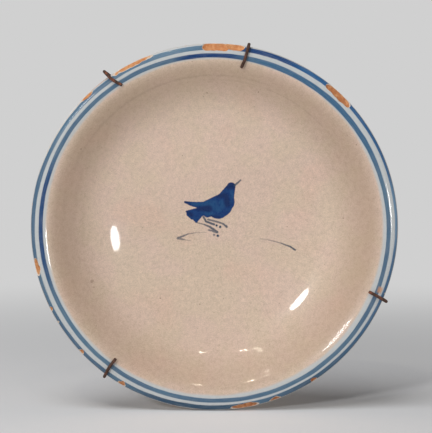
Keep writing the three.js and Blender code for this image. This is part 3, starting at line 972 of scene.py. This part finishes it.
def drawWire(name, node, wire, material):
    corners, radius = middleLine(node, wire["solidSides"])
    line = [Vector(p) for p in evenLine(corners, wire["spacing"])]
    radius *= wire["fullness"]
    height, grainSize = wire["rust"]
    side = (line[1] - line[0]).orthogonal().normalized()
    places, faces, sides = [], [], wire["sides"]
    run = [0.0]
    for a, b in zip(line, line[1:]):
        run.append(run[-1] + (b - a).length)
    for i, point in enumerate(line):
        along = (line[min(i + 1, len(line) - 1)] - line[max(i - 1, 0)]).normalized()
        side = (side - along * side.dot(along)).normalized()
        across = along.cross(side)
        fromEnd = min(run[i], run[-1] - run[i]) / mm
        nip = min(1, wire["nipped"] + (1 - wire["nipped"]) * fromEnd / wire["cut"])
        for k in range(sides):
            turn = 2 * math.pi * k / sides
            out = side * math.cos(turn) + across * math.sin(turn)
            rust = height * noise.noise((point + out * radius) / (grainSize * mm))
            place = point + out * (radius * nip + rust * mm)
            place.y = min(place.y, cadBox[1].y)  # the wall keeps it flat
            places.append(place)
    for i in range(len(line) - 1):
        for k in range(sides):
            a, b = i * sides + k, i * sides + (k + 1) % sides
            faces.append((a, b, b + sides, a + sides))
    last = (len(line) - 1) * sides
    faces.append(tuple(range(sides))[::-1])
    faces.append(tuple(last + k for k in range(sides)))
    mesh = bpy.data.meshes.new(name)
    mesh.from_pydata([tuple(p) for p in places], [], faces)
    thing = addObject(name, mesh)
    mesh.materials.append(material)
    smooth(thing, 40)
    return thing


rust = {
    "brown": screenColour(86, 56, 43),
    "dark": screenColour(50, 38, 33),
    "red": screenColour(136, 74, 46),
    "grey": screenColour(92, 82, 76),
}


def rustyIron():
    finish = Finish("rustyIron")
    place = finish.place((0, 0, 0))
    cloud = finish.grain(place, 0.22, 4, 0.6)
    flakes = finish.grain(place, 1.1, 4, 0.65)
    pits = finish.cells(place, 1.3)
    base = finish.blend(finish.ease(flakes, 0.36, 0.66), rust["dark"], rust["brown"])
    base = finish.blend(finish.ease(cloud, 0.5, 0.68) * 0.7, base, rust["red"])
    base = finish.blend(finish.ease(finish.grain(place, 0.5, 3), 0.62, 0.74) * 0.4, base, rust["grey"])
    height = flakes * 0.8 + finish.ease(pits, 0.0, 0.35) * 0.35
    return finish.cover({
        "Base Color": base,
        "Roughness": 0.62 + flakes * 0.3,
        "Metallic": finish.ease(cloud, 0.5, 0.36) * 0.35,
        "Normal": finish.bump(height, 0.22, 0.9),
    })


steel = {
    "bright": screenColour(128, 120, 112),
    "dull": screenColour(84, 72, 62),
    "rust": screenColour(112, 66, 44),
}


def tarnishedSteel():
    finish = Finish("tarnishedSteel")
    place = finish.place((0, 0, 0))
    cloud = finish.grain(place, 0.35, 4, 0.6)
    fine = finish.grain(place, 2.2, 3, 0.6)
    base = finish.blend(finish.ease(cloud, 0.36, 0.62), steel["bright"], steel["dull"])
    rusted = finish.ease(cloud + fine * 0.4, 0.74, 0.86)
    base = finish.blend(rusted * 0.8, base, steel["rust"])
    return finish.cover({
        "Base Color": base,
        "Roughness": 0.38 + rusted * 0.4,
        "Metallic": 0.85 - rusted * 0.7,
        "Normal": finish.bump(fine, 0.05, 0.7),
    })


ironRust = rustyIron()
wires = {"upperHangerWire": ("upper_wire", "hanger"), "lowerHangerWire": ("lower_wire", "lower_arms")}
hanger = []
for name, (node, body) in wires.items():
    hanger.append(drawWire(name, node, hangerWire, ironRust))
    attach(hanger[-1], body)
    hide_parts(node)
spring = drawWire("coilSpring", "tension_spring", springWire, tarnishedSteel())
hanger.append(spring)
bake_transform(spring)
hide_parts("tension_spring")
print("hanger drawn")


# Floor, backdrop and lamps

studio = {
    "floor": screenColour(224, 226, 230),
    "backdrop": screenColour(208, 208, 208),
    "ambient": 0.15,
    "fade": (0.15, 1.2),  # metres from the dish over which the floor goes over into the backdrop
    "size": 12,
    "gap": 0.0002,  # metres between the floor and the lowest point of the dish
    "lampsAimAt": 20,  # mm in front of the foot ring's face
}
daylight, warm, white = (1.0, 0.985, 0.965), (1.0, 0.9, 0.72), (1.0, 1.0, 1.0)
# Each lamp has its azimuth and elevation from the dish, distance and width in metres, height as a share
# of its width, share of the light, colour, and whether it shows in the gloss
lamps = {
    "rightLamp": (18.1, -0.8, 1.6, 0.12, 1, 0.09, white, True),
    "leftLamp": (-26.0, 18.0, 2.4, 0.32, 1, 0.36, daylight, True),
    "softBox": (-34.0, 62.0, 2.5, 1.7, 1, 0.515, daylight, False),
    "ceilingLampA": (6.5, 46.5, 2.6, 0.17, 0.35, 0.024, warm, True),
    "ceilingLampB": (-15.2, 46.2, 2.6, 0.16, 0.2, 0.037, warm, True),
    "ceilingLampC": (-23.0, 46.2, 2.6, 0.17, 0.2, 0.0085, warm, True),
    "backLamp": (197.0, 8.0, 2.4, 1.5, 1, 0.42, daylight, False),
}


def layFloor(look):
    mesh = bpy.data.meshes.new("floor")
    half, level = look["size"] / 2, cadBox[0].z - look["gap"]
    corners = [(-half, -half, level), (half, -half, level), (half, half, level), (-half, half, level)]
    mesh.from_pydata(corners, [], [(0, 1, 2, 3)])
    floor = addObject("floor", mesh)
    finish = Finish("paleFloor")
    place = finish.make("ShaderNodeTexCoord", {}, {}, "Object")
    away = finish.vector("LENGTH", finish.vector("MULTIPLY", place, (1, 1, 0)), output="Value")
    near = finish.make("ShaderNodeBsdfDiffuse", {}, {"Color": look["floor"]})
    far = finish.make("ShaderNodeEmission", {}, {"Color": look["backdrop"]})
    both = finish.make("ShaderNodeMixShader", {}, {0: finish.ease(away, *look["fade"]), 1: near, 2: far})
    finish.make("ShaderNodeOutputMaterial", {}, {"Surface": both})
    mesh.materials.append(finish.data)


def lightWorld(look):  # soft light on the objects, and the backdrop for the camera, metal and glass
    sky = Finish("studio", bpy.data.worlds)
    bpy.context.scene.world = sky.data
    seen = sky.make("ShaderNodeLightPath", {}, {}, "Is Camera Ray")
    rays = seen.socket.node.outputs
    for name in ("Is Glossy Ray", "Is Transmission Ray"):
        seen = sky.math("MAXIMUM", seen, Signal(sky, rays[name]))
    soft = sky.make("ShaderNodeBackground", {}, {"Color": (1, 1, 1, 1), "Strength": look["ambient"]})
    back = sky.make("ShaderNodeBackground", {}, {"Color": look["backdrop"]})
    both = sky.make("ShaderNodeMixShader", {}, {0: seen, 1: soft, 2: back})
    sky.make("ShaderNodeOutputWorld", {}, {"Surface": both})


def hangLamps(rig, look):
    centre = onDish(0, look["lampsAimAt"], 0)
    for name, (azimuth, elevation, distance, width, flatness, share, tint, inGloss) in rig.items():
        lamp = bpy.data.lights.new(name, "AREA")
        lamp.shape = "ELLIPSE"
        lamp.size = width
        lamp.size_y = width * flatness
        lamp.energy = share * math.pi**2 * distance**2  # a share means the same light from any distance
        lamp.color = tint
        turn, lift = math.radians(azimuth), math.radians(elevation)
        toward = Vector((math.sin(turn) * math.cos(lift), -math.cos(turn) * math.cos(lift), math.sin(lift)))
        thing = addObject(name, lamp)
        thing.location = centre + toward * distance
        thing.rotation_mode = "QUATERNION"
        thing.rotation_quaternion = toward.to_track_quat("Z", "Y")
        thing.visible_camera = False
        thing.visible_glossy = inGloss


def lightOnly(lampName, things):  # so that the lamp casts no shadow on the floor in front
    lit = bpy.data.collections.new(lampName)
    for thing in things:
        lit.objects.link(thing)
    bpy.data.objects[lampName].light_linking.receiver_collection = lit


layFloor(studio)
lightWorld(studio)
hangLamps(lamps, studio)
lightOnly("backLamp", [dishBody, *hanger])
bpy.context.scene.view_settings.view_transform = "Standard"
print("studio lit")
